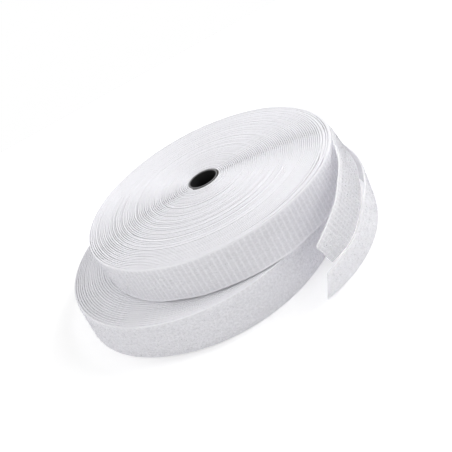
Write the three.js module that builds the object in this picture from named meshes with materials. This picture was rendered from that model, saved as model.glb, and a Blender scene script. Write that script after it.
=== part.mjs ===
// Two rolls of sew-on fastening tape, a hook roll lying on a loop roll, each with a free tail.
// Millimetres, +Z up. The floor is Z = 0 and the origin is the middle of the footprint.
import * as THREE from 'three';

// Tape
const tapeWidth = 38;
const turnGap = 0.5; // air between neighbouring turns of one roll
const fitClearance = 0.3; // between pieces that bear on each other

// Cores: one plain tube in each roll
const coreBoreDiameter = 27.4;
const coreWall = 1.5;
const coreChamfer = 0.4;
const coreSegments = 48;

// Starter tabs: the adhesive strips that hold the tape's inner ends to the cores
const tabLength = 24;
const tabThickness = 0.3;
const tabEdgeMargin = 3; // from the tape's edges
const tabSegments = 8;

// Hook roll
const hookRollDiameter = 250.6; // twice the radius at the line where the tail leaves
const hookTurnPitch = 1.85;
const hookWoundTurns = 14; // outer turns shown as a wound strip
const hookLeaveAngle = 34; // degrees, where the tail leaves the roll
const hookTailCutSlant = 14; // how far the cut end's lower corner falls short of its upper one

// Loop roll, under the hook roll and set off from it
const loopRollDiameter = 271.4;
const loopTurnPitch = 2.22;
const loopWoundTurns = 14;
const loopLeaveAngle = 84;
const loopOffsetX = -29.2;
const loopOffsetY = 1.3;

// Tails: how far the upper edge's end stands off its roll, then stations. A station is degrees past the
// leaving line, then how far the lower and the upper edge stand off there, as shares of that reach
const hookTailReach = 58.4;
const hookTailStations = [
  [0, 0, 0],
  [10, 0.015, 0.002],
  [26, 0.103, 0.007],
  [48, 0.195, 0.014],
  [68, 0.295, 0.12],
  [86, 0.514, 0.418],
  [98, 0.682, 0.712],
  [109.6, 0.726, 1],
];
const loopTailReach = 45.4;
const loopTailStations = [
  [0, 0, 0],
  [12, 0.031, 0.026],
  [32, 0.172, 0.15],
  [64, 0.493, 0.458],
  [96, 0.749, 0.692],
  [120, 0.841, 0.837],
  [136, 0.789, 0.996],
  [148.8, 0.67, 1],
];

// How finely the round forms are cut
const stepsPerTurn = 36;
const hookTailSteps = 34;
const loopTailSteps = 40;

const white = 0xf1f1f4;
const black = 0x1b1b1c;
const amber = 0xd9c9a0;

const coreBore = coreBoreDiameter / 2;
const coreRadius = coreBore + coreWall;
const windingBore = coreRadius + tabThickness + 2 * fitClearance;
const hookLevel = tapeWidth + fitClearance; // the hook roll's underside
const fullTurn = 2 * Math.PI;

function makeRoll(name, diameter, pitch, woundTurns, leaveAngle) {
  const thickness = pitch - turnGap;
  const radius = diameter / 2;
  return {
    name,
    pitch,
    thickness,
    radius,
    woundTurns,
    leave: THREE.MathUtils.degToRad(leaveAngle),
    tailStart: THREE.MathUtils.degToRad(leaveAngle) - fitClearance / radius, // clear of the wound strip's end
    woundStart: radius - thickness - woundTurns * pitch, // inner face of the wound strip's first turn
  };
}

const hookRoll = makeRoll('hook', hookRollDiameter, hookTurnPitch, hookWoundTurns, hookLeaveAngle);
const loopRoll = makeRoll('loop', loopRollDiameter, loopTurnPitch, loopWoundTurns, loopLeaveAngle);

function tapeMaterial(roughness) {
  return new THREE.MeshStandardMaterial({ color: white, roughness, metalness: 0 });
}

function namedMesh(name, geometry, material) {
  const mesh = new THREE.Mesh(geometry, material);
  mesh.name = name;
  return mesh;
}

// A closed bar joined from rings of four corners, with both ends capped
function barFromRings(rings) {
  const positions = rings.flat(2);
  const indices = [];
  for (let i = 0; i + 1 < rings.length; i += 1) {
    for (let side = 0; side < 4; side += 1) {
      const a = i * 4 + side;
      const b = i * 4 + ((side + 1) % 4);
      indices.push(a, b + 4, b, a, a + 4, b + 4);
    }
  }
  const last = (rings.length - 1) * 4;
  indices.push(0, 1, 2, 0, 2, 3);
  indices.push(last, last + 2, last + 1, last, last + 3, last + 2);
  const geometry = new THREE.BufferGeometry();
  geometry.setAttribute('position', new THREE.Float32BufferAttribute(positions, 3));
  geometry.setIndex(indices);
  geometry.computeVertexNormals();
  return geometry;
}

// The core tube, with its four rims chamfered
function coreGeometry() {
  const profile = [
    [coreBore, coreChamfer],
    [coreBore + coreChamfer, 0],
    [coreRadius - coreChamfer, 0],
    [coreRadius, coreChamfer],
    [coreRadius, tapeWidth - coreChamfer],
    [coreRadius - coreChamfer, tapeWidth],
    [coreBore + coreChamfer, tapeWidth],
    [coreBore, tapeWidth - coreChamfer],
    [coreBore, coreChamfer],
  ].map(([r, z]) => new THREE.Vector2(r, z));
  return new THREE.LatheGeometry(profile, coreSegments).rotateX(Math.PI / 2);
}

// The starter tab, bent round the core
function tabGeometry() {
  const inner = coreRadius + fitClearance;
  const outer = inner + tabThickness;
  const half = tabLength / inner / 2;
  const outline = new THREE.Shape();
  outline.absarc(0, 0, outer, -half, half, false);
  outline.absarc(0, 0, inner, half, -half, true);
  outline.closePath();
  const depth = tapeWidth - 2 * tabEdgeMargin;
  const options = { depth, bevelEnabled: false, curveSegments: tabSegments };
  return new THREE.ExtrudeGeometry(outline, options).translate(0, 0, tabEdgeMargin);
}

// The inner turns as one pack, whose outside is a single spiral turn with a step
// that takes the start of the wound strip
function packGeometry(roll) {
  const outline = new THREE.Shape();
  for (let i = 0; i <= stepsPerTurn; i += 1) {
    const share = i / stepsPerTurn;
    const r = roll.woundStart - turnGap + roll.pitch * share;
    const angle = roll.leave - fullTurn * share;
    const x = r * Math.cos(angle);
    const y = r * Math.sin(angle);
    if (i === 0) outline.moveTo(x, y);
    else outline.lineTo(x, y);
  }
  outline.closePath();
  const bore = new THREE.Path();
  bore.absarc(0, 0, windingBore, 0, fullTurn, false);
  outline.holes.push(bore);
  const options = { depth: tapeWidth, bevelEnabled: false, curveSegments: stepsPerTurn };
  return new THREE.ExtrudeGeometry(outline, options);
}

// The radial faces of the wound strip, one pair for each step, from its inner to its outer end
function woundSections(roll) {
  const sections = [];
  const count = roll.woundTurns * stepsPerTurn;
  const startShare = fitClearance / roll.woundStart / fullTurn; // clear of the pack's step
  for (let i = 0; i <= count; i += 1) {
    const turn = Math.max(i / stepsPerTurn, startShare);
    const inner = roll.woundStart + roll.pitch * turn;
    const angle = roll.leave - fullTurn * turn;
    sections.push({ angle, inner, outer: inner + roll.thickness });
  }
  return sections;
}

// The outer turns: one unbroken strip, wound outwards and clockwise seen from above
function woundGeometry(roll) {
  const rings = woundSections(roll).map(({ angle, inner, outer }) => {
    const c = Math.cos(angle);
    const s = Math.sin(angle);
    return [
      [inner * c, inner * s, 0],
      [inner * c, inner * s, tapeWidth],
      [outer * c, outer * s, tapeWidth],
      [outer * c, outer * s, 0],
    ];
  });
  return barFromRings(rings);
}

// Least gap of the wound strip to itself, between the points of its inner and outer faces
function leastSelfGap(roll) {
  const sections = woundSections(roll);
  const halfTurn = stepsPerTurn / 2;
  let least = Infinity;
  for (let i = 0; i < sections.length; i += 1) {
    for (let j = i + halfTurn; j < sections.length; j += 1) {
      const turned = sections[i].angle - sections[j].angle;
      const a = sections[i].outer;
      const b = sections[j].inner;
      least = Math.min(least, Math.sqrt(a * a + b * b - 2 * a * b * Math.cos(turned)));
    }
  }
  return least;
}

// A point on one edge of a tail: how far along, and whether the lower or the upper edge
function tailEdgePoint(roll, tail, along, upper) {
  const station = tail.route.getPoint(along);
  const angle = roll.tailStart - THREE.MathUtils.degToRad(station.x);
  const standOff = (upper ? station.z : station.y) * tail.reach;
  const r = roll.radius - roll.thickness / 2 + standOff;
  const spread = (station.z - station.y) * tail.reach;
  const rise = upper ? Math.sqrt(tapeWidth * tapeWidth - spread * spread) : 0;
  return new THREE.Vector3(r * Math.cos(angle), r * Math.sin(angle), rise);
}

function polylineLength(points) {
  return points.slice(1).reduce((length, point, i) => length + point.distanceTo(points[i]), 0);
}

// A tail: a strip standing on edge, which uncurls from the roll and leans as it goes
function tailGeometry(roll, reach, stations, steps, cutSlant) {
  const route = new THREE.CatmullRomCurve3(stations.map((station) => new THREE.Vector3(...station)));
  const tail = { reach, route };
  const edge = (upper, share) => {
    const points = [];
    for (let i = 0; i <= steps; i += 1) points.push(tailEdgePoint(roll, tail, (i / steps) * share, upper));
    return points;
  };
  const uppers = edge(true, 1);
  const lowers = edge(false, 1 - cutSlant / polylineLength(uppers));
  const rings = lowers.map((lower, i) => {
    const before = Math.max(i - 1, 0);
    const after = Math.min(i + 1, steps);
    const forward = new THREE.Vector3().subVectors(lowers[after], lowers[before]);
    forward.add(uppers[after]).sub(uppers[before]).normalize();
    const across = new THREE.Vector3().subVectors(uppers[i], lower).normalize();
    const outward = new THREE.Vector3().crossVectors(across, forward).normalize();
    outward.multiplyScalar(roll.thickness / 2);
    const lift = Math.abs(outward.z); // keeps the lower corner of a leaning edge on its level
    const corner = (point, sign) => {
      const p = point.clone().addScaledVector(outward, sign);
      return [p.x, p.y, p.z + lift];
    };
    return [corner(lower, -1), corner(uppers[i], -1), corner(uppers[i], 1), corner(lower, 1)];
  });
  return barFromRings(rings);
}

function rollGroup(roll, roughness, tail) {
  const group = new THREE.Group();
  const coreMaterial = new THREE.MeshStandardMaterial({ color: black, roughness: 0.45, metalness: 0 });
  const tabMaterial = new THREE.MeshStandardMaterial({ color: amber, roughness: 0.6, metalness: 0 });
  group.add(namedMesh(`${roll.name}_core`, coreGeometry(), coreMaterial));
  group.add(namedMesh(`${roll.name}_starter_tab`, tabGeometry(), tabMaterial));
  group.add(namedMesh(`${roll.name}_inner_turns`, packGeometry(roll), tapeMaterial(roughness)));
  group.add(namedMesh(`${roll.name}_outer_turns`, woundGeometry(roll), tapeMaterial(roughness)));
  group.add(namedMesh(`${roll.name}_tail`, tail, tapeMaterial(roughness)));
  console.log(`${roll.name} winding: least gap to itself ${leastSelfGap(roll).toFixed(2)} mm`);
  return group;
}

const hookTail = tailGeometry(hookRoll, hookTailReach, hookTailStations, hookTailSteps, hookTailCutSlant);
const hookGroup = rollGroup(hookRoll, 0.7, hookTail);
hookGroup.position.z = hookLevel;

const loopTail = tailGeometry(loopRoll, loopTailReach, loopTailStations, loopTailSteps, 0);
const loopGroup = rollGroup(loopRoll, 0.9, loopTail);
loopGroup.position.set(loopOffsetX, loopOffsetY, 0);

// The pair, moved so that the middle of its footprint is the origin
const tapeRolls = new THREE.Group();
tapeRolls.add(hookGroup, loopGroup);
const footprint = new THREE.Box3().setFromObject(tapeRolls, true).getCenter(new THREE.Vector3());
tapeRolls.position.set(-footprint.x, -footprint.y, 0);

export default tapeRolls;
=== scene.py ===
import math

import bmesh
import bpy
from mathutils import Matrix, Vector, noise


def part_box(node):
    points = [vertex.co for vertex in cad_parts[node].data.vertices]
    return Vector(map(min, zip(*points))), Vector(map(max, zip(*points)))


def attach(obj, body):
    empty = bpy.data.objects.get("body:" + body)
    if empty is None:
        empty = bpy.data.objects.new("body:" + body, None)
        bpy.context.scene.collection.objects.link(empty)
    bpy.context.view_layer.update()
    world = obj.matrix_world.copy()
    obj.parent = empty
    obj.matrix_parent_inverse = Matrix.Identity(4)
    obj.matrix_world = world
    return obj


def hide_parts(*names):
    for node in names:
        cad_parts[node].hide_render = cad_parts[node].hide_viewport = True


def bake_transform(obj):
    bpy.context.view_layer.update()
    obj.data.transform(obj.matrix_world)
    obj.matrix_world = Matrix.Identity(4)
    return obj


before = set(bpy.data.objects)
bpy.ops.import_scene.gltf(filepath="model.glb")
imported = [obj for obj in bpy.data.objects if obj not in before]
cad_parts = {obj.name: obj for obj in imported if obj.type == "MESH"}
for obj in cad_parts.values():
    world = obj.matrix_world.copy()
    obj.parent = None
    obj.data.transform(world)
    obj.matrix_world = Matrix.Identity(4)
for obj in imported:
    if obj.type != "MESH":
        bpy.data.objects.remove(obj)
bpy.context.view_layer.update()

mm = 0.001
wholeTurn = 2 * math.pi
print("stage 1: frame loaded")


# The rolls, as they lie in the frame
def rollFrom(coreNode, look):
    low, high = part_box(coreNode)
    roll = dict(look)
    roll["axis"] = Vector(((low.x + high.x) / 2, (low.y + high.y) / 2, low.z))
    roll["leaveWay"] = Vector((math.cos(look["leaveAngle"]), math.sin(look["leaveAngle"]), 0))
    roll["swing"] = look["pitch"] / 4  # half-turn centres stand this far each side of the axis
    roll["turnLength"] = wholeTurn * (look["radius"] - look["pitch"] / 2)
    return roll


hookRoll = rollFrom("hook_core", {
    "radius": 125.3 * mm,  # outer face where the tail leaves
    "pitch": 1.85 * mm,  # from one turn to the next
    "thickness": 1.35 * mm,
    "width": 38 * mm,
    "halfTurns": 117,
    "leaveAngle": math.radians(34),
    "ribsPerTurn": 160,
    "slack": {  # the last turns hang loose behind the tail, most at their lower edge
        "start": 0,  # degrees past the leaving line
        "peak": 58,
        "end": 140,
        "lower": 8 * mm,
        "upper": 3.2 * mm,
        "shares": (1, 0.6, 0.55, 0.2),  # last turn first
    },
})
loopRoll = rollFrom("loop_core", {
    "radius": 135.7 * mm,
    "pitch": 2.22 * mm,
    "thickness": 1.72 * mm,
    "width": 38 * mm,
    "halfTurns": 106,
    "leaveAngle": math.radians(84),
    "slack": {
        "start": 195,
        "peak": 248,
        "end": 300,
        "lower": 4 * mm,
        "upper": 0,
        "shares": (1, 0.6, 0.3),
    },
})


# Camera, fitted to the rims of both rolls in the photograph
cameraLook = {
    "aim": hookRoll["axis"] + Vector((0, 0, hookRoll["width"])),  # middle of the hook roll's flat side
    "distance": 539.16 * mm,
    "elevation": math.radians(25.3),
    "roll": math.radians(-28.79),
    "yaw": math.radians(2.36),
    "pitch": math.radians(-4.84),
    "lens": 44.78,
    "sensor": 36,
    "nearest": 10 * mm,
}


def makeCamera(look):
    data = bpy.data.cameras.new("photoCamera")
    data.lens = look["lens"]
    data.sensor_width = look["sensor"]
    data.clip_start = look["nearest"]
    rise = look["elevation"]
    place = look["aim"] + look["distance"] * Vector((0, -math.cos(rise), math.sin(rise)))
    turn = Matrix.Rotation(math.pi / 2 - rise, 4, "X") @ Matrix.Rotation(look["roll"], 4, "Z")
    turn = turn @ Matrix.Rotation(-look["yaw"], 4, "Y") @ Matrix.Rotation(look["pitch"], 4, "X")
    camera = bpy.data.objects.new("photoCamera", data)
    camera.matrix_world = Matrix.Translation(place) @ turn
    bpy.context.scene.collection.objects.link(camera)
    bpy.context.scene.camera = camera


makeCamera(cameraLook)
print("stage 2: camera placed")


# Materials
def startMaterial(name, look):
    material = bpy.data.materials.new(name)
    material.use_nodes = True
    nodes = material.node_tree.nodes
    shader = nodes["Principled BSDF"]
    shader.inputs["Base Color"].default_value = (*look["colour"], 1)
    shader.inputs["Roughness"].default_value = look["roughness"]
    shader.inputs["Specular IOR Level"].default_value = look["gloss"]
    return material, nodes, material.node_tree.links, shader


def startGroup(name, inputs, outputs):
    group = bpy.data.node_groups.new(name, "ShaderNodeTree")
    group.interface.new_socket("Place", in_out="INPUT", socket_type="NodeSocketVector")
    for way, sockets in (("INPUT", inputs), ("OUTPUT", outputs)):
        for socket in sockets:
            group.interface.new_socket(socket, in_out=way, socket_type="NodeSocketFloat")
    inlet = group.nodes.new("NodeGroupInput")
    outlet = group.nodes.new("NodeGroupOutput")
    return group, group.nodes, group.links, inlet, outlet


def mathNode(nodes, links, operation, *sources):
    node = nodes.new("ShaderNodeMath")
    node.operation = operation
    for socket, source in zip(node.inputs, sources):
        if isinstance(source, (int, float)):
            socket.default_value = source
        else:
            links.new(source, socket)
    return node.outputs[0]


# Weave of the ground tape: ribs across the tape and threads along it, on the tape's own map in metres
def makeWeave():
    inputs = ("Rib Pitch", "Thread Pitch", "Fuzz")
    group, nodes, links, inlet, outlet = startGroup("tapeWeave", inputs, ("Height", "Shade"))
    split = nodes.new("ShaderNodeSeparateXYZ")
    links.new(inlet.outputs["Place"], split.inputs[0])
    waves = []
    for axis, pitch in (("X", "Rib Pitch"), ("Y", "Thread Pitch")):
        phase = mathNode(nodes, links, "DIVIDE", split.outputs[axis], inlet.outputs[pitch])
        turns = mathNode(nodes, links, "MULTIPLY", phase, wholeTurn)
        waves.append(mathNode(nodes, links, "SINE", turns))
    over = mathNode(nodes, links, "MULTIPLY", *waves)
    height = mathNode(nodes, links, "MULTIPLY_ADD", over, 0.5, 0.5)  # from -1..1 to 0..1
    fuzz = nodes.new("ShaderNodeTexNoise")
    fuzz.inputs["Detail"].default_value = 3
    links.new(inlet.outputs["Fuzz"], fuzz.inputs["Scale"])
    links.new(inlet.outputs["Place"], fuzz.inputs["Vector"])
    links.new(height, outlet.inputs["Height"])
    links.new(fuzz.outputs["Fac"], outlet.inputs["Shade"])
    return group


# Uneven patches, a few threads wide
def makePatches():
    group, nodes, links, inlet, outlet = startGroup("threadPatches", ("Size",), ("Patch",))
    cloud = nodes.new("ShaderNodeTexNoise")
    cloud.inputs["Detail"].default_value = 2
    links.new(inlet.outputs["Place"], cloud.inputs["Vector"])
    links.new(mathNode(nodes, links, "DIVIDE", 1, inlet.outputs["Size"]), cloud.inputs["Scale"])
    stretch = nodes.new("ShaderNodeMapRange")  # the noise seldom leaves its middle third
    stretch.inputs["From Min"].default_value = 0.34
    stretch.inputs["From Max"].default_value = 0.66
    links.new(cloud.outputs["Fac"], stretch.inputs["Value"])
    links.new(stretch.outputs["Result"], outlet.inputs["Patch"])
    return group


# How much of the ground the hooks or loops shade: patchy, in bands with bare stripes between, and less
# towards the selvedges, on the tape's own map
def makeFieldShade():
    inputs = ("Patch", "Band Pitch", "Margin", "Fade", "Width")
    group, nodes, links, inlet, outlet = startGroup("fieldShade", inputs, ("Shade",))
    split = nodes.new("ShaderNodeSeparateXYZ")
    links.new(inlet.outputs["Place"], split.inputs[0])
    phase = mathNode(nodes, links, "DIVIDE", split.outputs["X"], inlet.outputs["Band Pitch"])
    saw = mathNode(nodes, links, "PINGPONG", phase, 0.5)  # up and down once in each band
    band = nodes.new("ShaderNodeMapRange")
    band.interpolation_type = "SMOOTHSTEP"
    band.inputs["From Max"].default_value = 0.3  # soft edge of the stripe, as a share of the band
    links.new(saw, band.inputs["Value"])
    both = mathNode(nodes, links, "ADD", band.outputs["Result"], inlet.outputs["Patch"])
    mean = mathNode(nodes, links, "DIVIDE", both, 2)
    half = mathNode(nodes, links, "DIVIDE", inlet.outputs["Width"], 2)
    offset = mathNode(nodes, links, "SUBTRACT", split.outputs["Y"], half)
    fromEdge = mathNode(nodes, links, "SUBTRACT", half, mathNode(nodes, links, "ABSOLUTE", offset))
    inField = mathNode(nodes, links, "SUBTRACT", fromEdge, inlet.outputs["Margin"])
    field = nodes.new("ShaderNodeMapRange")
    field.interpolation_type = "SMOOTHSTEP"
    links.new(inlet.outputs["Fade"], field.inputs["From Max"])
    links.new(inField, field.inputs["Value"])
    shade = mathNode(nodes, links, "MULTIPLY", mean, field.outputs["Result"])
    links.new(shade, outlet.inputs["Shade"])
    return group


tapeWeave = makeWeave()
threadPatches = makePatches()
fieldShade = makeFieldShade()


def addGroup(nodes, group, settings):
    node = nodes.new("ShaderNodeGroup")
    node.node_tree = group
    for name, value in settings.items():
        node.inputs[name].default_value = value
    return node


def colourMix(nodes, links, factor, first, second):
    mix = nodes.new("ShaderNodeMix")
    mix.data_type = "RGBA"
    links.new(factor, mix.inputs[0])
    for socket, colour in ((mix.inputs[6], first), (mix.inputs[7], second)):  # the two colour inputs
        if isinstance(colour, tuple):
            socket.default_value = (*colour, 1)
        else:
            links.new(colour, socket)
    return mix.outputs[2]


def addBump(nodes, links, shader, height, look):
    bump = nodes.new("ShaderNodeBump")
    bump.inputs["Strength"].default_value = look["bump"]
    bump.inputs["Distance"].default_value = look["bumpDepth"]
    links.new(height, bump.inputs["Height"])
    links.new(bump.outputs["Normal"], shader.inputs["Normal"])


whiteLean = (0, -0.004, 0.027)  # the whites lean a little to violet


def tapeWhite(level):
    return tuple(level + lean for lean in whiteLean)


groundLook = {
    "ribPitch": 0.9 * mm,
    "threadPitch": 0.7 * mm,
    "fuzz": 260,  # specks in a metre
    "patch": 2.2 * mm,
    "bump": 0.4,
    "bumpDepth": 0.15 * mm,
}
hookWhiteLook = {
    **groundLook,
    "colour": tapeWhite(0.894),
    "shadeColour": tapeWhite(0.856),
    "paintedShadeColour": tapeWhite(0.726),  # painted shade of the hooks on the ground between them
    "bandPitch": hookRoll["turnLength"] / hookRoll["ribsPerTurn"],
    "margin": 0.8 * mm,
    "fade": 2 * mm,
    "width": hookRoll["width"],
    "roughness": 0.7,
    "gloss": 0.25,
}
loopWhiteLook = {
    **groundLook,
    "colour": tapeWhite(0.884),
    "shadeColour": tapeWhite(0.846),
    "paintedShadeColour": tapeWhite(0.656),  # painted shade of the loops on the ground between them
    "bandPitch": 1000,  # longer than the tape, so there are no bands
    "margin": 0,
    "fade": 1 * mm,
    "width": loopRoll["width"],
    "roughness": 0.85,
    "gloss": 0.2,
}
threadLook = {
    "bump": 0.2,
    "bumpDepth": 0.1 * mm,
}
hookNylonLook = {
    **threadLook,
    "colour": tapeWhite(0.876),
    "shadeColour": tapeWhite(0.746),
    "roughness": 0.45,
    "gloss": 0.4,
    "patch": 2.2 * mm,
}
loopPileLook = {
    **threadLook,
    "colour": tapeWhite(0.954),
    "shadeColour": tapeWhite(0.706),
    "roughness": 0.9,
    "gloss": 0.15,
    "patch": 3.2 * mm,
}
# A tail is a single layer, so it lets light through
layerLook = {
    "letThrough": 0.9,
    "bending": 1.15,
}
hookTailPaintedLightStart = {  # painted light: lighter than the wall, to make up for its thinness
    "colour": tapeWhite(0.964),
    "shadeColour": tapeWhite(0.936),
    "paintedShadeColour": tapeWhite(0.826),
}
# Painted shade: away from the roll the tail's tape is painted darker than the wall's
hookTailShadedLook = {
    **hookWhiteLook,
    **layerLook,
    "colour": tapeWhite(0.62),
    "shadeColour": tapeWhite(0.58),
    "paintedShadeColour": tapeWhite(0.48),
    "glowDepth": 10 * mm,
    "alone": 260 * mm,  # along the tail, where nothing lies behind it
    "margin": 0.3 * mm,
    "fade": 1 * mm,
}
# Painted light: the tail's ground between the loops is painted paler than the wall's
loopTailLitLook = {
    **loopWhiteLook,
    **layerLook,
    "paintedShadeColour": tapeWhite(0.796),
    "glowDepth": 4 * mm,
    "alone": 150 * mm,
}
# Painted shade: the tail's hooks are painted darker than the wall's
hookTailShadedNylonLook = {
    **hookNylonLook,
    **layerLook,
    "colour": tapeWhite(0.72),
    "shadeColour": tapeWhite(0.62),
    "alone": hookTailShadedLook["alone"],
}
# Painted light: the tail's loops are painted a little paler than the wall's
loopTailLitThreadLook = {
    **loopPileLook,
    **layerLook,
    "shadeColour": tapeWhite(0.72),
    "alone": loopTailLitLook["alone"],
}


def tapePlace(nodes):
    place = nodes.new("ShaderNodeUVMap")
    place.uv_map = "tape"
    return place.outputs["UV"]


# A single layer of tape lets much of the light on to what lies behind it
def letLightThrough(nodes, links, shader, look):
    shader.inputs["IOR"].default_value = look["bending"]
    path = nodes.new("ShaderNodeLightPath")
    bounced = mathNode(nodes, links, "MAXIMUM", path.outputs["Is Diffuse Ray"],
                       path.outputs["Is Transmission Ray"])
    through = mathNode(nodes, links, "MULTIPLY", bounced, look["letThrough"])
    links.new(through, shader.inputs["Transmission Weight"])


# Colours of a tail, from those at its roll to its own where it is alone: painted light and painted shade
# along the tail
def tailLitAndShadedColours(nodes, links, look, startLook):
    split = nodes.new("ShaderNodeSeparateXYZ")
    links.new(tapePlace(nodes), split.inputs[0])
    away = nodes.new("ShaderNodeMapRange")
    away.interpolation_type = "SMOOTHSTEP"
    away.inputs["From Max"].default_value = look["alone"]
    links.new(split.outputs["X"], away.inputs["Value"])
    keys = [key for key in look if key.lower().endswith("colour")]
    return {key: colourMix(nodes, links, away.outputs["Result"], startLook[key], look[key]) for key in keys}


def makeTapeWhite(name, look, startLook=None):
    material, nodes, links, shader = startMaterial(name, look)
    weave = addGroup(nodes, tapeWeave, {
        "Rib Pitch": look["ribPitch"],
        "Thread Pitch": look["threadPitch"],
        "Fuzz": look["fuzz"],
    })
    patches = addGroup(nodes, threadPatches, {"Size": look["patch"]})
    shading = addGroup(nodes, fieldShade, {
        "Band Pitch": look["bandPitch"],
        "Margin": look["margin"],
        "Fade": look["fade"],
        "Width": look["width"],
    })
    place = tapePlace(nodes)
    for node in (weave, patches, shading):
        links.new(place, node.inputs["Place"])
    links.new(patches.outputs["Patch"], shading.inputs["Patch"])
    colours = look
    if startLook:  # a tail, which starts as its roll's wall ends
        letLightThrough(nodes, links, shader, look)
        shader.inputs["Subsurface Weight"].default_value = 1
        shader.inputs["Subsurface Radius"].default_value = (1, 1, 1)
        shader.inputs["Subsurface Scale"].default_value = look["glowDepth"]
        colours = tailLitAndShadedColours(nodes, links, look, startLook)
    bare = colourMix(nodes, links, weave.outputs["Shade"], colours["shadeColour"], colours["colour"])
    # Painted shade: the ground is darkened where the hooks or loops stand over it
    colour = colourMix(nodes, links, shading.outputs["Shade"], bare, colours["paintedShadeColour"])
    links.new(colour, shader.inputs["Base Color"])
    addBump(nodes, links, shader, weave.outputs["Height"], look)
    return material


def makeThread(name, look, startLook=None):
    material, nodes, links, shader = startMaterial(name, look)
    colours = look
    if startLook:
        letLightThrough(nodes, links, shader, look)
        colours = tailLitAndShadedColours(nodes, links, look, startLook)
    coords = nodes.new("ShaderNodeTexCoord")
    patches = addGroup(nodes, threadPatches, {"Size": look["patch"]})
    links.new(coords.outputs["Object"], patches.inputs["Place"])
    colour = colourMix(nodes, links, patches.outputs["Patch"], colours["shadeColour"], colours["colour"])
    links.new(colour, shader.inputs["Base Color"])
    addBump(nodes, links, shader, patches.outputs["Patch"], look)
    return material


hookWhite = makeTapeWhite("hookWhite", hookWhiteLook)
loopWhite = makeTapeWhite("loopWhite", loopWhiteLook)
hookTailShadedWhite = makeTapeWhite("hookTailShadedWhite", hookTailShadedLook, hookTailPaintedLightStart)
loopTailLitWhite = makeTapeWhite("loopTailLitWhite", loopTailLitLook, loopWhiteLook)
hookNylon = makeThread("hookNylon", hookNylonLook)
loopPile = makeThread("loopPile", loopPileLook)
hookTailShadedNylon = makeThread("hookTailShadedNylon", hookTailShadedNylonLook, hookNylonLook)
loopTailLitThread = makeThread("loopTailLitThread", loopTailLitThreadLook, loopPileLook)

coreBlackLook = {
    "colour": (0.012, 0.012, 0.0125),
    "rimColour": (0.2, 0.2, 0.205),  # paler within rimDepth of both ends
    "rimDepth": 1 * mm,
    "roughness": 0.45,
    "gloss": 0.4,
    "grain": 1500,  # specks in a metre
    "bump": 0.15,
    "bumpDepth": 0.05 * mm,
}


def makeCoreBlack(name, look, roll):
    material, nodes, links, shader = startMaterial(name, look)
    coords = nodes.new("ShaderNodeTexCoord")
    split = nodes.new("ShaderNodeSeparateXYZ")
    links.new(coords.outputs["Object"], split.inputs[0])
    half = roll["width"] / 2
    fromMiddle = mathNode(nodes, links, "SUBTRACT", split.outputs["Z"], roll["axis"].z + half)
    rim = nodes.new("ShaderNodeMapRange")
    rim.inputs["From Min"].default_value = half - look["rimDepth"]
    rim.inputs["From Max"].default_value = half
    links.new(mathNode(nodes, links, "ABSOLUTE", fromMiddle), rim.inputs["Value"])
    colour = colourMix(nodes, links, rim.outputs["Result"], look["colour"], look["rimColour"])
    links.new(colour, shader.inputs["Base Color"])
    grain = nodes.new("ShaderNodeTexNoise")
    grain.inputs["Scale"].default_value = look["grain"]
    links.new(coords.outputs["Object"], grain.inputs["Vector"])
    addBump(nodes, links, shader, grain.outputs["Fac"], look)
    return material


hookCoreBlack = makeCoreBlack("hookCoreBlack", coreBlackLook, hookRoll)
loopCoreBlack = makeCoreBlack("loopCoreBlack", coreBlackLook, loopRoll)

tabFilmLook = {
    **threadLook,
    "colour": (0.7, 0.6, 0.4),
    "shadeColour": (0.6, 0.49, 0.3),
    "roughness": 0.5,
    "gloss": 0.4,
    "patch": 1.5 * mm,
}
tabFilm = makeThread("tabFilm", tabFilmLook)
for node in ("hook_starter_tab", "loop_starter_tab"):
    bpy.data.objects[node].data.materials.clear()
    bpy.data.objects[node].data.materials.append(tabFilm)
print("stage 3: materials ready")


# Shared by the pieces
sharpAngle = 40  # degrees: a sharper edge isn't smoothed over
threadSharpAngle = 70
cellMiddle = Vector((0.5, 0.5, 0.5))  # where a cell of noise is read


def finishPiece(name, bm, material, sharpFrom=sharpAngle):
    bmesh.ops.recalc_face_normals(bm, faces=bm.faces)
    mesh = bpy.data.meshes.new(name)
    bm.to_mesh(mesh)
    bm.free()
    mesh.shade_smooth()
    mesh.set_sharp_from_angle(angle=math.radians(sharpFrom))
    mesh.materials.append(material)
    piece = bpy.data.objects.new(name, mesh)
    bpy.context.scene.collection.objects.link(piece)
    print("  ", name, len(mesh.polygons), "faces")
    return piece


def wholeOf(bm):
    return bm.verts[:] + bm.edges[:] + bm.faces[:]


def vertsOf(parts):
    return [part for part in parts if isinstance(part, bmesh.types.BMVert)]


# Outer radius of the last turn, a given angle back from the line where the tail leaves
def lastTurnRadius(roll, turned):
    swing = roll["swing"]
    if turned < math.pi:
        return roll["radius"] - swing + swing * math.cos(turned)
    return roll["radius"] - 3 * swing - swing * math.cos(turned)


# How far a turn hangs off the roll, for a number of turns back from the leaving line
def slackAt(roll, turns, across):
    slack = roll["slack"]
    whole = int(turns)
    if turns <= 0 or whole >= len(slack["shares"]):
        return 0
    past = (1 - turns + whole) * 360
    start, peak, end = slack["start"], slack["peak"], slack["end"]
    if past < start or past > end:
        return 0
    rise = min((past - start) / (peak - start), (end - past) / (end - peak))
    most = slack["lower"] + (slack["upper"] - slack["lower"]) * across
    return slack["shares"][whole] * most * (0.5 - 0.5 * math.cos(math.pi * rise))


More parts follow.
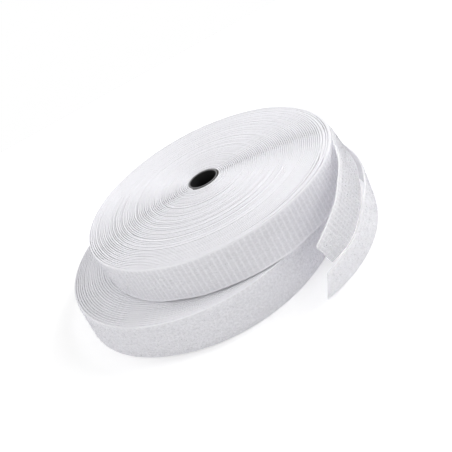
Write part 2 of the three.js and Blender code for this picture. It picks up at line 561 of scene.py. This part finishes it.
# The wound turns: one strip, spun in half-turns whose centres alternate about the axis
windingLook = {
    "edgeRound": 0.3 * mm,
    "bodySlope": 0.5 * mm,
    "leastSteps": 16,  # in a half-turn
    "stepLength": 8.5 * mm,
    "weld": 0.01 * mm,
    "faceSlip": 0.1 * mm,  # what stands further out than this on the last turn is set back
    "angleSlip": 0.01,  # an angle this little below 0 isn't taken for a whole turn
    "handOver": 0.25,  # share of a turn in which the play passes on to the next
    "tight": 0.1,  # turns back from the leaving line that have no play
    "levelSeed": 3,
    "gapSeed": 8,
    "rippleSeed": 7.3,
    "rippleRate": 2.3,  # in a turn
    "footTurns": 3,  # last turns whose lower edge is lifted
    "footHeight": 0.05,  # share of the width that counts as the edge
    "footShare": 0.75,  # of the lift, before its ripple
    "footSeed": 2.1,
    "footRate": 31,
}
hookWindingLook = {
    **windingLook,
    "ground": 1.3 * mm,  # thickness at the selvedges
    "body": 1.75 * mm,  # thickness with the hooks
    "margin": 6 * mm,
    "levelPlay": 0.2 * mm,
    "gapPlay": 0.42 * mm,
    "ripple": 0.1 * mm,
    "footLift": 1.3 * mm,
}
loopWindingLook = {
    **windingLook,
    "ground": 1.88 * mm,
    "body": 2.1 * mm,
    "margin": 2.1 * mm,
    "levelPlay": 0.1 * mm,
    "gapPlay": 0.12 * mm,
    "ripple": 0.05 * mm,
    "footLift": 0,
}


def windTape(roll, look):
    whole = bmesh.new()
    side = 1 if roll["halfTurns"] % 2 == 0 else -1
    for halfTurn in range(roll["halfTurns"]):
        back = roll["halfTurns"] - halfTurn  # half-turns still to go
        radius = roll["radius"] - roll["thickness"] - back * roll["pitch"] / 2
        part = spinHalfTurn(roll, look, side, radius, back)
        mesh = bpy.data.meshes.new("halfTurn")
        part.to_mesh(mesh)
        part.free()
        whole.from_mesh(mesh)
        bpy.data.meshes.remove(mesh)
        side = -side
    bmesh.ops.remove_doubles(whole, verts=whole.verts, dist=look["weld"])
    ends = [edge for edge in whole.edges if edge.is_boundary]
    bmesh.ops.holes_fill(whole, edges=ends, sides=0)
    unevenTurns(roll, look, whole.verts)
    return whole


def tapeSection(roll, look):
    edge = look["edgeRound"]
    ground = look["ground"]
    margin = look["margin"]
    lower = [(0, edge), (edge, 0), (ground - edge, 0), (ground, edge), (ground, margin)]
    lower.append((look["body"], margin + look["bodySlope"]))
    return lower + [(x, roll["width"] - z) for x, z in reversed(lower)]


def bearing(way):
    return math.atan2(way.y, way.x)


def withinTurn(angle, look):
    return (angle + look["angleSlip"]) % wholeTurn - look["angleSlip"]


def spinHalfTurn(roll, look, side, radius, back):
    bm = bmesh.new()
    start = roll["leaveWay"] * side
    section = [bm.verts.new(roll["axis"] + start * (radius + x) + Vector((0, 0, z)))
               for x, z in tapeSection(roll, look)]
    loop = [bm.edges.new((section[i - 1], section[i])) for i in range(len(section))]
    centre = roll["axis"] - start * roll["swing"]
    steps = max(look["leastSteps"], round(math.pi * radius / look["stepLength"]))
    bmesh.ops.spin(bm, geom=section + loop, cent=centre, axis=(0, 0, 1), angle=-math.pi, steps=steps)
    bm.verts.ensure_lookup_table()
    tapeMap = bm.loops.layers.uv.new("tape")
    for face in bm.faces:
        for corner in face.loops:
            turned = withinTurn(bearing(start) - bearing(corner.vert.co - centre), look)
            along = (turned - (back - 2) * math.pi) * roll["turnLength"] / wholeTurn
            corner[tapeMap].uv = (along, corner.vert.co.z - roll["axis"].z)
    if back <= 2:
        clearLastTurn(roll, look, bm.verts[len(section):])
    return bm


# On the last turn the body gives way to the hooks or loops themselves
def clearLastTurn(roll, look, verts):
    for vert in verts:
        arm = vert.co - roll["axis"]
        turned = withinTurn(bearing(arm) - roll["leaveAngle"], look)
        face = lastTurnRadius(roll, turned) - roll["thickness"] + look["ground"]
        distance = math.hypot(arm.x, arm.y)
        if distance > face + look["faceSlip"]:
            vert.co.x = roll["axis"].x + arm.x * face / distance
            vert.co.y = roll["axis"].y + arm.y * face / distance


# A value from -1 to 1 that each turn keeps most of the way round, then hands over to the next
def turnChance(turns, seed, look):
    whole = math.floor(turns)
    passed = max(0, 1 - (1 - turns + whole) / look["handOver"])
    this, following = [noise.cell(Vector((whole + k, seed, 0)) + cellMiddle) for k in (0, 1)]
    return this + (following - this) * passed * passed * (3 - 2 * passed)


def rippleAt(rate, turns, seed):
    return noise.noise(Vector((rate * turns, seed, 0.5)))


# No two turns sit quite level, some stand a little apart, and the last ones hang slack
def unevenTurns(roll, look, verts):
    for vert in verts:
        arm = vert.co - roll["axis"]
        distance = math.hypot(arm.x, arm.y)
        across = arm.z / roll["width"]
        share = (across - 0.5) * 2
        turned = ((bearing(arm) - roll["leaveAngle"]) / wholeTurn) % 1
        depth = (roll["radius"] - roll["thickness"] + look["body"] / 2 - distance) / roll["pitch"]
        turns = round(depth - turned) + turned  # turns back from the leaving line
        if turns < look["tight"]:
            continue
        shift = slackAt(roll, turns, across)
        if share > 0:
            level = look["levelPlay"] * turnChance(turns, look["levelSeed"], look)
            level += look["ripple"] * rippleAt(look["rippleRate"], turns, look["rippleSeed"])
            vert.co.z += level * share
            gap = turnChance(turns, look["gapSeed"], look) ** 3  # most small, a few wide
            shift += look["gapPlay"] * gap * share
        elif turns < look["footTurns"] and across < look["footHeight"]:
            ripple = rippleAt(look["footRate"], turned, look["footSeed"])
            vert.co.z += look["footLift"] * (look["footShare"] + ripple)
        vert.co.x += arm.x * shift / distance
        vert.co.y += arm.y * shift / distance


hookWinding = finishPiece("hookWinding", windTape(hookRoll, hookWindingLook), hookWhite)
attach(hookWinding, "hook_roll")
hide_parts("hook_inner_turns", "hook_outer_turns")

loopWinding = finishPiece("loopWinding", windTape(loopRoll, loopWindingLook), loopWhite)
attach(loopWinding, "loop_roll")
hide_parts("loop_inner_turns", "loop_outer_turns")
print("stage 4: both tapes wound")


# Tails. A station is degrees past the leaving line, then how far the lower and the upper edge stand off
# the roll there, as shares of the reach
tailLook = {
    "liftLength": 40 * mm,  # in which a tail thins down from its wall
    "bendLength": 45 * mm,  # in which it bends when it swings
    "cells": 8,  # across
    "finePerRow": 6,  # points that an edge is measured by
}
hookTailLook = {
    **tailLook,
    "reach": 58.4 * mm,
    "cutSlant": 14 * mm,  # how far the cut end's lower corner falls short
    "stations": [
        (0, 0, 0),
        (10, 0.02, 0.002),
        (26, 0.11, 0.016),
        (48, 0.195, 0.044),
        (60, 0.25, 0.06),
        (68, 0.295, 0.142),
        (86, 0.514, 0.418),
        (98, 0.682, 0.712),
        (109.6, 0.726, 1),
    ],
    "ground": 0.75 * mm,  # thickness without the hooks
    "rows": 140,  # along
}
loopTailLook = {
    **tailLook,
    "reach": 45.4 * mm,
    "cutSlant": 0,
    "stations": [
        (0, 0, 0),
        (12, 0.031, 0.026),
        (32, 0.172, 0.15),
        (64, 0.52, 0.505),
        (96, 0.765, 0.76),
        (120, 0.841, 0.837),
        (136, 0.789, 0.996),
        (148.8, 0.67, 1),
    ],
    "ground": 0.9 * mm,
    "rows": 200,
}


# Stand-offs of both edges at an angle, on a smooth curve through the stations
def standOffs(stations, angle):
    last = len(stations) - 1
    i = max(k for k in range(last) if stations[k][0] <= angle)
    before, start = stations[max(i - 1, 0)], stations[i]
    end, after = stations[i + 1], stations[min(i + 2, last)]
    span = end[0] - start[0]
    t = (angle - start[0]) / span
    found = []
    for edge in (1, 2):
        slopeIn = (end[edge] - before[edge]) / (end[0] - before[0]) * span
        slopeOut = (after[edge] - start[edge]) / (after[0] - start[0]) * span
        rise = end[edge] - start[edge]
        found.append(start[edge] + t * (slopeIn + t * (3 * rise - 2 * slopeIn - slopeOut
                                                       + t * (slopeIn + slopeOut - 2 * rise))))
    return found


def tailEdges(roll, look, angle):
    lower, upper = [share * look["reach"] for share in standOffs(look["stations"], angle)]
    turn = roll["leaveAngle"] - math.radians(angle)
    way = Vector((math.cos(turn), math.sin(turn), 0))
    middle = roll["radius"] - roll["thickness"] / 2
    rise = Vector((0, 0, math.sqrt(roll["width"] ** 2 - (upper - lower) ** 2)))
    return roll["axis"] + way * (middle + lower), roll["axis"] + way * (middle + upper) + rise


# One edge of the tail as points the same distance apart
def evenEdge(roll, look, upper, cut):
    fine = look["finePerRow"] * look["rows"]
    endAngle = look["stations"][-1][0]
    points = [tailEdges(roll, look, endAngle * k / fine)[upper] for k in range(fine + 1)]
    lengths = [0]
    for k in range(fine):
        lengths.append(lengths[-1] + (points[k + 1] - points[k]).length)
    even, k = [], 0
    for row in range(look["rows"] + 1):
        target = (lengths[-1] - cut) * row / look["rows"]
        while k < fine - 1 and lengths[k + 1] < target:
            k += 1
        even.append(points[k].lerp(points[k + 1], (target - lengths[k]) / (lengths[k + 1] - lengths[k])))
    return even, lengths[-1] - cut


def tailCourse(roll, look, wallGround):
    lowers, lowerLength = evenEdge(roll, look, 0, look["cutSlant"])
    uppers, upperLength = evenEdge(roll, look, 1, 0)
    outwards = []
    for row in range(look["rows"] + 1):
        before, after = max(row - 1, 0), min(row + 1, look["rows"])
        forward = lowers[after] - lowers[before] + uppers[after] - uppers[before]
        outwards.append((uppers[row] - lowers[row]).cross(forward).normalized())
    lifts = [Vector((0, 0, abs(way.z) * roll["thickness"] / 2)) for way in outwards]
    course = dict(look)
    course["startLift"] = wallGround - look["ground"]  # flush with the wall
    course["lowers"] = [point + lift for point, lift in zip(lowers, lifts)]
    course["uppers"] = [point + lift for point, lift in zip(uppers, lifts)]
    course["outwards"] = outwards
    course["length"] = (lowerLength + upperLength) / 2
    return course


# From the flat tape (along, across, out from its back) to its place on the tail, or round the roll
def ontoTail(roll, course, flat):
    place = min(max(flat.x / course["length"], 0), 1) * course["rows"]
    row = min(int(place), course["rows"] - 1)
    part = place - row
    lower = course["lowers"][row].lerp(course["lowers"][row + 1], part)
    upper = course["uppers"][row].lerp(course["uppers"][row + 1], part)
    out = course["outwards"][row].lerp(course["outwards"][row + 1], part)
    lift = course["startLift"] * max(0, 1 - flat.x / course["liftLength"])
    return lower.lerp(upper, flat.y / roll["width"]) + out * (flat.z + lift - roll["thickness"] / 2)


def ontoRoll(roll, flat):
    turned = wholeTurn * (1 - flat.x / roll["turnLength"])
    slack = slackAt(roll, turned / wholeTurn, flat.y / roll["width"])
    distance = lastTurnRadius(roll, turned) + slack - roll["thickness"] + flat.z
    angle = roll["leaveAngle"] + turned
    return roll["axis"] + Vector((distance * math.cos(angle), distance * math.sin(angle), flat.y))


# A flat strip cut to length, given its thickness, then bent along its course
def makeTail(roll, course):
    bm = bmesh.new()
    bmesh.ops.create_grid(bm, x_segments=course["rows"], y_segments=course["cells"], size=0.5)
    bmesh.ops.translate(bm, verts=bm.verts, vec=(0.5, 0.5, 0))
    bmesh.ops.scale(bm, verts=bm.verts, vec=(course["length"], roll["width"], 1))
    raised = bmesh.ops.extrude_face_region(bm, geom=bm.faces[:])["geom"]
    bmesh.ops.translate(bm, verts=vertsOf(raised), vec=(0, 0, course["ground"]))
    tapeMap = bm.loops.layers.uv.new("tape")
    for face in bm.faces:
        isBack = max(vert.co.z for vert in face.verts) == 0
        aside = roll["width"] if isBack else 0  # the back is mapped off the field, so it gets none of the painted shade of the hooks or loops
        for corner in face.loops:
            along, across = corner.vert.co.xy
            corner[tapeMap].uv = (along, across - aside)
    for vert in bm.verts:
        vert.co = ontoTail(roll, course, vert.co)
    return bm


hookCourse = tailCourse(hookRoll, hookTailLook, hookWindingLook["ground"])
loopCourse = tailCourse(loopRoll, loopTailLook, loopWindingLook["ground"])
print("   tail lengths", round(hookCourse["length"], 4), round(loopCourse["length"], 4))

hookTail = finishPiece("hookTail", makeTail(hookRoll, hookCourse), hookTailShadedWhite)
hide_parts("hook_tail")

loopTail = finishPiece("loopTail", makeTail(loopRoll, loopCourse), loopTailLitWhite)
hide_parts("loop_tail")
print("stage 5: tails bent")


# Hooks, set out on the flat tape in bands of rows, with a bare stripe between the bands
hookLook = {
    "thread": 0.34 * mm,
    "sides": 3,
    "shank": 0.5 * mm,
    "bend": 0.3 * mm,  # radius of the crook
    "crookAngle": math.radians(200),
    "crookSteps": 3,
    "columnPitch": 2.2 * mm,
    "rowPitch": 1.3 * mm,
    "rowsInBand": 3,
    "bandPitch": hookRoll["turnLength"] / hookRoll["ribsPerTurn"],
    "bandStart": 0.95 * mm,
    "bandsInBlock": 5,
    "margin": 2.6 * mm,  # bare selvedge
    "root": 0.05 * mm,  # depth in the ground
    "play": 0.4 * mm,  # of the tips
    "playRate": 0.45 / mm,
    "stray": 1.3 * mm,  # of whole hooks
    "strayRate": 0.3 / mm,
    "seed": 5,
}


# The tape's own map for what stands on it, while it is still flat
def mapTape(bm):
    tapeMap = bm.loops.layers.uv.new("tape")
    for face in bm.faces:
        for corner in face.loops:
            corner[tapeMap].uv = corner.vert.co.xy


# Copies in a line, made in blocks so that a long line stays quick
def repeatAlong(bm, count, step, block=1):
    line = {"angle": 0, "axis": (0, 0, 1), "cent": (0, 0, 0), "use_duplicate": True}
    step = Vector(step)
    if block > 1:
        bmesh.ops.spin(bm, geom=wholeOf(bm), steps=block - 1, dvec=step, **line)
    if count > block:
        bmesh.ops.spin(bm, geom=wholeOf(bm), steps=round(count / block) - 1, dvec=step * block, **line)


def layHooks(look, length, width):
    bm = bmesh.new()
    bmesh.ops.create_circle(bm, cap_ends=True, segments=look["sides"], radius=look["thread"] / 2)
    raised = bmesh.ops.extrude_face_region(bm, geom=bm.faces[:])["geom"]
    bmesh.ops.translate(bm, verts=vertsOf(raised), vec=(0, 0, look["shank"]))
    crook = (look["bend"], 0, look["shank"])
    bmesh.ops.spin(bm, geom=raised, cent=crook, axis=(0, 1, 0), angle=look["crookAngle"],
                   steps=look["crookSteps"])
    partner = vertsOf(bmesh.ops.duplicate(bm, geom=wholeOf(bm))["geom"])  # leans the other way
    bmesh.ops.rotate(bm, verts=partner, cent=(0, 0, 0), matrix=Matrix.Rotation(math.pi, 3, "Z"))
    bmesh.ops.translate(bm, verts=partner, vec=(2 * look["bend"], look["columnPitch"], 0))
    pairs = int((width - 2 * look["margin"]) / (2 * look["columnPitch"]))
    repeatAlong(bm, pairs, (0, 2 * look["columnPitch"], 0))
    repeatAlong(bm, look["rowsInBand"], (look["rowPitch"], 0, 0))
    repeatAlong(bm, int(length / look["bandPitch"]), (look["bandPitch"], 0, 0), look["bandsInBlock"])
    spare = width - (2 * pairs - 1) * look["columnPitch"]
    bmesh.ops.translate(bm, verts=bm.verts, vec=(look["bandStart"], spare / 2, 0))
    return bm


def hookFieldOn(name, material, length, ground, bend):
    look = hookLook
    bm = layHooks(look, length, hookRoll["width"])
    height = look["shank"] + look["bend"]
    mapTape(bm)
    noise.seed_set(look["seed"])  # otherwise noise_vector differs in every run
    for vert in bm.verts:
        lean = noise.noise_vector(vert.co * look["playRate"]) * look["play"] * vert.co.z / height
        stray = noise.noise_vector(vert.co * look["strayRate"]) * look["stray"]
        stray.z = ground - look["root"]
        vert.co = bend(vert.co + lean + stray)
    return finishPiece(name, bm, material, threadSharpAngle)


hookWallHooks = hookFieldOn("hookWallHooks", hookNylon, hookRoll["turnLength"],
                            hookWindingLook["ground"], lambda flat: ontoRoll(hookRoll, flat))
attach(hookWallHooks, "hook_roll")

hookTailHooks = hookFieldOn("hookTailHooks", hookTailShadedNylon, hookCourse["length"],
                            hookCourse["ground"], lambda flat: ontoTail(hookRoll, hookCourse, flat))
print("stage 6: hooks set")


# Loops of the pile, each turned its own way
pileLook = {
    "thread": 0.3 * mm,
    "sides": 3,
    "arch": 0.65 * mm,
    "archSteps": 3,
    "cell": 1.9 * mm,
    "cellsInBlock": 10,
    "margin": 1.2 * mm,
    "rise": 0.1 * mm,
    "tilt": 0.6,  # radians, either way
    "stray": 0.8,  # share of a cell
    "least": 0.7,  # share of its height that the lowest loop has
    "growth": 0.7,  # how much more the highest has
    "seed": 11,
}


def layLoops(look, length, width):
    bm = bmesh.new()
    bmesh.ops.create_circle(bm, cap_ends=True, segments=look["sides"], radius=look["thread"] / 2)
    bmesh.ops.translate(bm, verts=bm.verts, vec=(-look["arch"], 0, 0))
    bmesh.ops.spin(bm, geom=wholeOf(bm), cent=(0, 0, 0), axis=(0, 1, 0), angle=math.pi,
                   steps=look["archSteps"])
    across = int((width - 2 * look["margin"]) / look["cell"])
    repeatAlong(bm, across, (0, look["cell"], 0))
    repeatAlong(bm, int(length / look["cell"]), (look["cell"], 0, 0), look["cellsInBlock"])
    return bm, (width - (across - 1) * look["cell"]) / 2


# Turn, tilt, height and shift of the loop in one cell
def loopChance(look, column, row):
    chance = noise.cell_vector(Vector((column, row, look["seed"])) + cellMiddle)
    turn = Matrix.Rotation(chance.x * wholeTurn, 3, "Z")
    tilt = Matrix.Rotation((2 * chance.y - 1) * look["tilt"], 3, "X")
    shift = Vector((chance.z - 0.5, chance.x - 0.5, 0)) * look["cell"] * look["stray"]
    return turn @ tilt, look["least"] + look["growth"] * chance.z, shift


def pileOn(name, material, length, ground, bend):
    look = pileLook
    bm, edge = layLoops(look, length, loopRoll["width"])
    start = Vector((look["cell"] / 2, edge, ground))
    chances = {}
    mapTape(bm)
    for vert in bm.verts:
        cell = (round(vert.co.x / look["cell"]), round(vert.co.y / look["cell"]))
        if cell not in chances:
            chances[cell] = loopChance(look, *cell)
        turn, tall, shift = chances[cell]
        middle = Vector((cell[0] * look["cell"], cell[1] * look["cell"], 0))
        local = turn @ (vert.co - middle)
        local.z = local.z * tall + look["rise"]
        vert.co = bend(middle + local + shift + start)
    return finishPiece(name, bm, material, threadSharpAngle)


loopWallPile = pileOn("loopWallPile", loopPile, loopRoll["turnLength"],
                      loopWindingLook["ground"], lambda flat: ontoRoll(loopRoll, flat))
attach(loopWallPile, "loop_roll")

loopTailPile = pileOn("loopTailPile", loopTailLitThread, loopCourse["length"],
                      loopCourse["ground"], lambda flat: ontoTail(loopRoll, loopCourse, flat))
print("stage 7: pile laid")


# Each tail, with what stands on it, has its transform baked into its mesh
def hangTail(tail, field):
    for piece in (tail, field):
        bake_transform(piece)


hangTail(hookTail, hookTailHooks)
hangTail(loopTail, loopTailPile)


# Cores
coreLook = {
    "bore": 13.7 * mm,
    "outer": 15.2 * mm,
    "round": 0.4 * mm,
    "roundSteps": 4,
    "steps": 96,
}


def makeCore(name, material, roll, body, node):
    bm = bmesh.new()
    section = [bm.verts.new(roll["axis"] + Vector((r, 0, z)))
               for r, z in ((coreLook["bore"], 0), (coreLook["outer"], 0),
                            (coreLook["outer"], roll["width"]), (coreLook["bore"], roll["width"]))]
    bm.faces.new(section)
    bmesh.ops.bevel(bm, geom=bm.verts[:], offset=coreLook["round"], segments=coreLook["roundSteps"],
                    profile=0.5, affect="VERTICES", material=-1)
    bmesh.ops.delete(bm, geom=bm.faces[:], context="FACES_ONLY")
    bmesh.ops.spin(bm, geom=bm.verts[:] + bm.edges[:], cent=roll["axis"], axis=(0, 0, 1),
                   angle=wholeTurn, steps=coreLook["steps"], use_merge=True)
    core = finishPiece(name, bm, material)
    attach(core, body)
    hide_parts(node)


makeCore("hookCore", hookCoreBlack, hookRoll, "hook_roll", "hook_core")
makeCore("loopCore", loopCoreBlack, loopRoll, "loop_roll", "loop_core")
print("stage 8: cores turned")


# Floor, world and lamps
stageLook = {
    "floorSize": 0.8,
    "floorColour": (0.9, 0.9, 0.9),
    "floorGlow": 0.24,
    "glowNear": 0.2,  # from the middle: where the floor starts to whiten
    "glowFar": 0.36,
    "tent": {  # brightness of each side, with its axis and which way it lies
        "left": (1.03, "X", -1),
        "right": (0.05, "X", 1),
        "front": (0.05, "Y", -1),
        "back": (0.05, "Y", 1),
        "above": (0.05, "Z", 1),
    },
}


# One shader for what the camera sees and another for what lights the rolls
def seenByCamera(nodes, links, unseen, seen):
    path = nodes.new("ShaderNodeLightPath")
    choice = nodes.new("ShaderNodeMixShader")
    links.new(path.outputs["Is Camera Ray"], choice.inputs["Fac"])
    links.new(unseen.outputs[0], choice.inputs[1])
    links.new(seen.outputs[0], choice.inputs[2])
    return choice.outputs["Shader"]


def makeFloor(look):
    bm = bmesh.new()
    bmesh.ops.create_grid(bm, x_segments=1, y_segments=1, size=look["floorSize"])
    material = bpy.data.materials.new("floorWhite")
    material.use_nodes = True
    nodes = material.node_tree.nodes
    links = material.node_tree.links
    nodes.clear()
    diffuse = nodes.new("ShaderNodeBsdfDiffuse")
    diffuse.inputs["Color"].default_value = (*look["floorColour"], 1)
    coords = nodes.new("ShaderNodeTexCoord")
    distance = nodes.new("ShaderNodeVectorMath")
    distance.operation = "LENGTH"
    links.new(coords.outputs["Object"], distance.inputs[0])
    whiten = nodes.new("ShaderNodeMapRange")
    whiten.inputs["From Min"].default_value = look["glowNear"]
    whiten.inputs["From Max"].default_value = look["glowFar"]
    whiten.inputs["To Min"].default_value = look["floorGlow"]
    links.new(distance.outputs["Value"], whiten.inputs["Value"])
    glow = nodes.new("ShaderNodeEmission")
    links.new(whiten.outputs["Result"], glow.inputs["Strength"])
    none = nodes.new("ShaderNodeEmission")
    none.inputs["Strength"].default_value = 0
    both = nodes.new("ShaderNodeAddShader")
    output = nodes.new("ShaderNodeOutputMaterial")
    links.new(diffuse.outputs["BSDF"], both.inputs[0])
    links.new(seenByCamera(nodes, links, none, glow), both.inputs[1])
    links.new(both.outputs["Shader"], output.inputs["Surface"])
    floor = finishPiece("floor", bm, material)


# A soft white tent, each side with its own brightness, that the camera sees as plain white
def makeWorld(look):
    world = bpy.data.worlds.new("softTent")
    bpy.context.scene.world = world
    world.use_nodes = True
    nodes = world.node_tree.nodes
    links = world.node_tree.links
    coords = nodes.new("ShaderNodeTexCoord")
    split = nodes.new("ShaderNodeSeparateXYZ")
    links.new(coords.outputs["Generated"], split.inputs[0])
    light = 0
    for brightness, axis, way in look["tent"].values():
        facing = mathNode(nodes, links, "MULTIPLY", split.outputs[axis], way * brightness)
        light = mathNode(nodes, links, "ADD", mathNode(nodes, links, "MAXIMUM", facing, 0), light)
    tent = nodes["Background"]
    white = nodes.new("ShaderNodeBackground")
    for background in (tent, white):
        background.inputs["Color"].default_value = (1, 1, 1, 1)
    links.new(light, tent.inputs["Strength"])
    links.new(seenByCamera(nodes, links, tent, white), nodes["World Output"].inputs["Surface"])


# Soft round lamps, each a bearing and a height in degrees as seen from the rolls
lampLooks = {
    "rightLamp": {"bearing": 0, "height": 35, "power": 17.8},
    "topLamp": {"bearing": 0, "height": 85, "power": 5.8},
    "backLamp": {"bearing": 150, "height": 35, "power": 5},
    "frontLamp": {"bearing": -95, "height": 14, "power": 5.6},
}
lampAim = Vector((0.03, 0, 0.05))
lampDistance = 1.5
lampSize = 1


def makeLamp(name, look):
    data = bpy.data.lights.new(name, "AREA")
    data.shape = "DISK"
    data.size = lampSize
    data.energy = look["power"]
    turn, height = math.radians(look["bearing"]), math.radians(look["height"])
    flat = math.cos(height)
    way = Vector((math.cos(turn) * flat, math.sin(turn) * flat, math.sin(height)))
    lamp = bpy.data.objects.new(name, data)
    lamp.location = lampAim + lampDistance * way
    lamp.rotation_euler = way.to_track_quat("Z", "Y").to_euler()
    bpy.context.scene.collection.objects.link(lamp)


makeFloor(stageLook)
makeWorld(stageLook)
for lampName, lampLook in lampLooks.items():
    makeLamp(lampName, lampLook)
bpy.context.scene.view_settings.view_transform = "Standard"
print("stage 9: stage lit")
